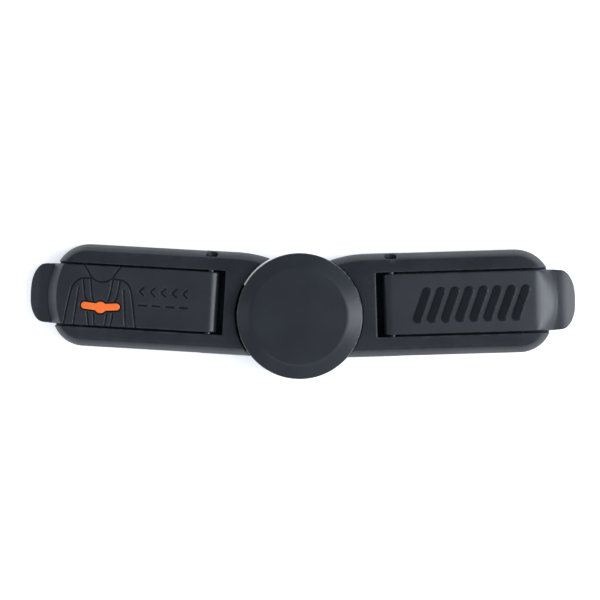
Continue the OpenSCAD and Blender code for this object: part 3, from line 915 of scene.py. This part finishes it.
def tongue():
    low, high = span("tongue_plate", LEFT)
    grid = Grid(low - 0.6, high + 0.6, 0.13, LEFT)
    half, tip, corner = TONGUE_HALF, tongue_high[0], 2.2
    root = both(between(grid.u, 15, high[0]), np.abs(grid.v) - ROOT_HALF, 0.3)
    for s in (-1, 1):
        root = cut(root, np.hypot(grid.u - SCREW_U, grid.v - s * SCREW_V) - SCREW_HOLE, 0.1)
    root = cut(root, grid.radius - HUB_R - 0.3, 0.2)
    root = cut(root, both(grid.radius - LEFT_END_R - 1.2, 9.1 - grid.y, 0.2), 0.2)
    outline = [(-24, -half), (tip - corner, -half), (tip, corner - half),
               (tip, half - corner), (tip - corner, half), (-24, half)]
    blade = outline_distance(grid.x[:, :, 0], grid.y[:, :, 0], outline)[:, :, None]
    plan = either(root, blade, 0.8)
    for s in (-1, 1):
        notch = both(between(grid.x, -4.2, 1.8), between(grid.y, s * half - 1.8, s * half + 1.8), 0.2)
        plan = cut(plan, notch, 0.2)
    field = both(plan, between(grid.z, low[2], high[2]), 0.25)
    return finished(skin("latch_tongue", field, grid), "left_half", "tongue_plastic", "tongue_plate")


# ---------------------------------------------------------------- button and latch

def button_cap():
    """The round button, with its wide bevel and the seat of the carrier inside its rim."""
    h, r = BUTTON_H, BUTTON_R
    skirt, seat, lip = r - 1.6, r - 1.9, r - 2.5
    corners = [
        (0, h, 0), (BUTTON_FLAT_R * 0.5, h - 0.02, 8), (BUTTON_FLAT_R + 0.3, h - 0.12, 3.0),
        (r - 0.02, h - BEVEL_H, 0.55), (r, RIM_Z, 0.3), (skirt, RIM_Z, 0.3),
        (skirt, SEAT_Z - 0.45, 0.1), (lip, SEAT_Z - 0.25, 0.05), (lip, SEAT_Z, 0.05),
        (seat, SEAT_Z, 0), (seat, SEAT_TOP, 0.1), (0, SEAT_TOP, 0),
    ]
    piece = lathe("round_button", corners[::-1], sides=256)
    # Painted highlight: the top edge of the rim gets a high edge value, so the material paints it in the pale
    # edge colour.
    rim = []
    for vertex in piece.data.vertices:
        x, y, z = vertex.co / MM
        rim.append(3.0 if math.hypot(x, y) > r - 0.3 and z > h - BEVEL_H - 0.2 else 0.0)
    mark_points(piece, "edge", rim)
    return finished(piece, "button", "button_plastic", "button_cap")


def leg_profile(y, z):
    """Section of one of the button's legs, which ends in a wedge."""
    inner, outer = LEG_Y
    wedge = [(inner, LEG_BOTTOM), (inner + 0.5, LEG_BOTTOM), (outer, LEG_BOTTOM + 1.6)]
    return outline_distance(y, z, wedge + [(outer, LEG_TOP), (inner, LEG_TOP)])


def button_carrier():
    """The plate inside the button, with its guide stem and its two barbed legs."""
    grid = Grid(carrier_low - 0.6, carrier_high + 0.6, 0.14)
    field = post(grid, 0, 0, carrier_high[0], carrier_high[2] - 1.4, carrier_high[2], 0.3)
    field = either(field, post(grid, 0, 0, GUIDE_R, 7.1, carrier_high[2] - 0.5, 0.3), 0.5)
    for s in (-1, 1):
        profile = leg_profile(s * grid.y[:, :, 0].T, grid.z[0])
        leg = both(between(grid.x, *LEG_X), profile[None], 0.2)
        field = either(field, leg, 0.3)
        out = between(grid.x, LEG_X[1] - 0.3, LEG_X[1] + 0.7)
        barb = both(out, between(s * grid.y, LEG_Y[0], LEG_Y[0] + 0.7), 0.1)
        barb = both(barb, between(grid.z, HUB_CEILING - 0.7, HUB_CEILING - 0.05), 0.1)
        field = either(field, barb, 0.1)
    return finished(skin("button_carrier_part", field, grid), "button", "inner_plastic", "button_carrier")


def latch_fork():
    """The flat fork whose two arms catch the tongue, with a ramped pad where each leg spreads it."""
    grid = Grid(fork_low - 0.5, fork_high + 0.5, 0.11)
    y = np.abs(grid.y)
    plan = both(between(grid.x, 9.5, 13.5), y - 8.7, 0.5)
    outline = [(10, 7), (10, 8.7), (-4, 8.3), (-4, 6.9), (-0.5, 4.7), (1.5, 4.7), (1.5, 7)]
    arm = outline_distance(grid.x[:, :, 0], y[:, :, 0], outline)[:, :, None]
    plan = either(plan, arm, 0.5)
    along = between(grid.x, LEG_X[0] - 1.4, LEG_X[1] + 1.4)
    plan = either(plan, both(along, between(y, LEG_Y[1] - 0.4, LEG_Y[1] + 1), 0.4), 0.5)
    for post_x, post_y in POSTS:
        plan = cut(plan, np.hypot(grid.x - post_x, grid.y - post_y) - POST_R - 0.05, 0.1)
    field = both(plan, between(grid.z, fork_low[2], fork_high[2]), 0.2)
    pressed = leg_profile(y[:, :, 0].T, grid.z[0] + PRESS) - 0.35
    ramp = both(between(grid.x, LEG_X[0] - 0.35, LEG_X[1] + 1.0), pressed[None], 0.05)
    field = cut(field, ramp, 0.05)
    return finished(skin("latch_fork", field, grid), "right_half", "inner_plastic", "latch_spring")


def return_spring():
    """The coil that lifts the button."""
    low, high = span("button_spring")
    wire, turns, steps = 0.3, 4, 48
    coil_r = high[0] - wire
    bottom, top = low[2] + wire, high[2] - wire - 0.05
    route = []
    for i in range(turns * steps + 1):
        t = i / (turns * steps)
        rise = min(max((t * turns - 0.5) / (turns - 1), 0), 1)
        a = 2 * math.pi * turns * t
        route.append(Vector((coil_r * math.cos(a), coil_r * math.sin(a), bottom + (top - bottom) * rise)))
    piece = sweep("return_spring", route, wire - 0.02)
    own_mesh(piece)
    return finished(piece, "right_half", "spring_steel", "button_spring")


# ---------------------------------------------------------------- pins and screws

def hinge_pin(side):
    """A steel pin with a dished end, pushed in from the arm's upper side."""
    name = SIDE_NAMES[side]
    shank, dish = PIN_R - 0.02, PIN_END - 0.4
    corners = [(0, PIN_TIP, 0), (shank, PIN_TIP, 0.2), (shank, PIN_NECK, 0), (PIN_HEAD_R, PIN_NECK, 0.1),
               (PIN_HEAD_R, PIN_END, 0.2), (0.55, PIN_END, 0.12), (0.4, dish, 0.1), (0, dish, 0)]
    centre = from_arm(np.array([[HINGE_U, 0, HINGE_Z]]), side)[0]
    across = from_arm(np.array([[HINGE_U, 1, HINGE_Z]]), side)[0] - centre
    turn = Vector((0, 0, 1)).rotation_difference(Vector(across)).to_matrix().to_4x4()
    piece = lathe(name + "_pin", corners, Matrix.Translation(Vector(centre)) @ turn, 48)
    return finished(piece, name + "_half", "steel", name + "_hinge_pin")


def screw_mesh(name, x, y):
    """A self-tapping screw with a cross recess, its head to the rear."""
    grid = Grid((-2.6, -2.6, -0.4), (2.6, 2.6, SCREW_TOP + 0.5), 0.08)
    angle = np.arctan2(grid.y, grid.x)
    pitch = 0.9
    turn = np.mod(grid.z / pitch - angle / (2 * math.pi), 1.0)
    ridge = np.maximum(1 - 3.2 * np.abs(turn - 0.5), 0)
    taper = np.clip((SCREW_TOP - grid.z) / 1.2, 0.15, 1)
    shank = both(grid.radius - (0.74 + 0.24 * ridge) * taper, between(grid.z, 0.5, SCREW_TOP), 0.05)
    rear = 0.15 + 0.02 * grid.radius ** 2
    head = both(both(grid.radius - 2.0, grid.z - HEAD_DEPTH, 0.1), rear - grid.z, 0.25)
    field = either(head, shank, 0.12)
    reach = np.clip(0.85 - grid.z, 0, 1)
    for a, b in ((grid.x, grid.y), (grid.y, grid.x)):
        slot = both(both(np.abs(a) - 0.5 - 0.85 * reach, np.abs(b) - 0.27, 0.08), grid.z - 0.85, 0.08)
        field = cut(field, slot, 0.06)
    piece = skin(name, field, grid)
    piece.data.transform(Matrix.Translation((x * MM, y * MM, 0)))
    return piece


def screws(name, places, body, node):
    pieces = [screw_mesh(f"{name}_{n}", x, y) for n, (x, y) in enumerate(places)]
    return finished(joined(name, pieces), body, "steel", node)


def arm_screw_places(side):
    points = from_arm(np.array([[SCREW_U, s * SCREW_V, 0] for s in (-1, 1)]), side)
    return [(p[0], p[1]) for p in points]


# ---------------------------------------------------------------- stage

def area_light(name, place, size, power):
    """A cool white softbox that faces the middle of the part."""
    lamp = bpy.data.lights.new(name, "AREA")
    lamp.shape = "RECTANGLE"
    lamp.size, lamp.size_y = size
    lamp.energy = power
    lamp.color = (0.92, 0.98, 1.06)
    holder = bpy.data.objects.new(name, lamp)
    holder.location = place
    holder.rotation_euler = Vector(place).to_track_quat("Z", "Y").to_euler()
    bpy.context.scene.collection.objects.link(holder)


def pale_floor():
    """A plain white floor, just clear of the rear plates."""
    low, half = cad_bounds[0][2] - 0.2 * MM, 3.0
    points = [(-half, -half, low), (half, -half, low), (half, half, low), (-half, half, low)]
    floor = mesh_object("floor", points, [[0, 1, 2, 3]])
    material = bpy.data.materials.new("pale_floor")
    material.use_nodes = True
    shader = material.node_tree.nodes["Principled BSDF"]
    shader.inputs["Base Color"].default_value = (0.95, 0.955, 0.96, 1)
    shader.inputs["Roughness"].default_value = 0.9
    shader.inputs["Specular IOR Level"].default_value = 0.1
    shader.inputs["Emission Color"].default_value = (1, 1, 1, 1)
    shader.inputs["Emission Strength"].default_value = 0.5
    floor.data.materials.append(material)


def studio():
    """Soft light from all round, with stronger light from the right as in the photograph."""
    world = bpy.data.worlds.new("studio")
    world.use_nodes = True
    background = world.node_tree.nodes["Background"]
    background.inputs["Color"].default_value = (0.84, 0.94, 1.10, 1)
    background.inputs["Strength"].default_value = 0.45
    bpy.context.scene.world = world
    bpy.context.scene.view_settings.view_transform = "Standard"
    area_light("right_softbox", (0.71, 0.0, 0.81), (0.5, 0.8), 6.6)
    area_light("right_low", (1.0, 0.0, 0.2), (0.3, 1.0), 8.0)
    area_light("left_low", (-1.0, 0.0, 0.12), (0.3, 1.0), 2.0)
    area_light("front_softbox", (0.0, -0.62, 0.86), (1.4, 0.4), 2.2)


def photo_camera():
    """Looks straight down at the front face, a little from the right, rolled as the photograph is."""
    yaw, roll = math.radians(2.36), math.radians(0.79)
    distance, face_z, width_seen = 0.474, 0.011, 0.1796
    target = Vector((-0.0005, 0.0048, 0.0))
    camera = bpy.data.cameras.new("camera")
    camera.sensor_width = 36
    camera.lens = camera.sensor_width * (distance - face_z) / width_seen
    camera.clip_start = 0.01
    holder = bpy.data.objects.new("camera", camera)
    back = Vector((math.sin(yaw), 0, math.cos(yaw)))
    right = Vector((math.cos(yaw), 0, -math.sin(yaw)))
    up = back.cross(right)
    turned_right = right * math.cos(roll) + up * math.sin(roll)
    turned_up = back.cross(turned_right)
    matrix = Matrix((turned_right, turned_up, back)).transposed().to_4x4()
    matrix.translation = target + back * distance
    holder.matrix_world = matrix
    bpy.context.scene.collection.objects.link(holder)
    bpy.context.scene.camera = holder


# ---------------------------------------------------------------- assembly

photo_camera()
studio()
pale_floor()

left_shell()
right_shell()
left_flap()
right_flap()
marker()
tongue()
for side in (LEFT, RIGHT):
    back_plate(side)
    grip_pad(side)
    flap_strips(side)
    hinge_pin(side)
    screws(SIDE_NAMES[side] + "_arm_screws", arm_screw_places(side), SIDE_NAMES[side] + "_half",
           SIDE_NAMES[side] + "_screws")
screws("latch_housing_screws", HUB_SCREWS, "right_half", "hub_screws")
button_cap()
button_carrier()
latch_fork()
return_spring()

bpy.context.view_layer.update()
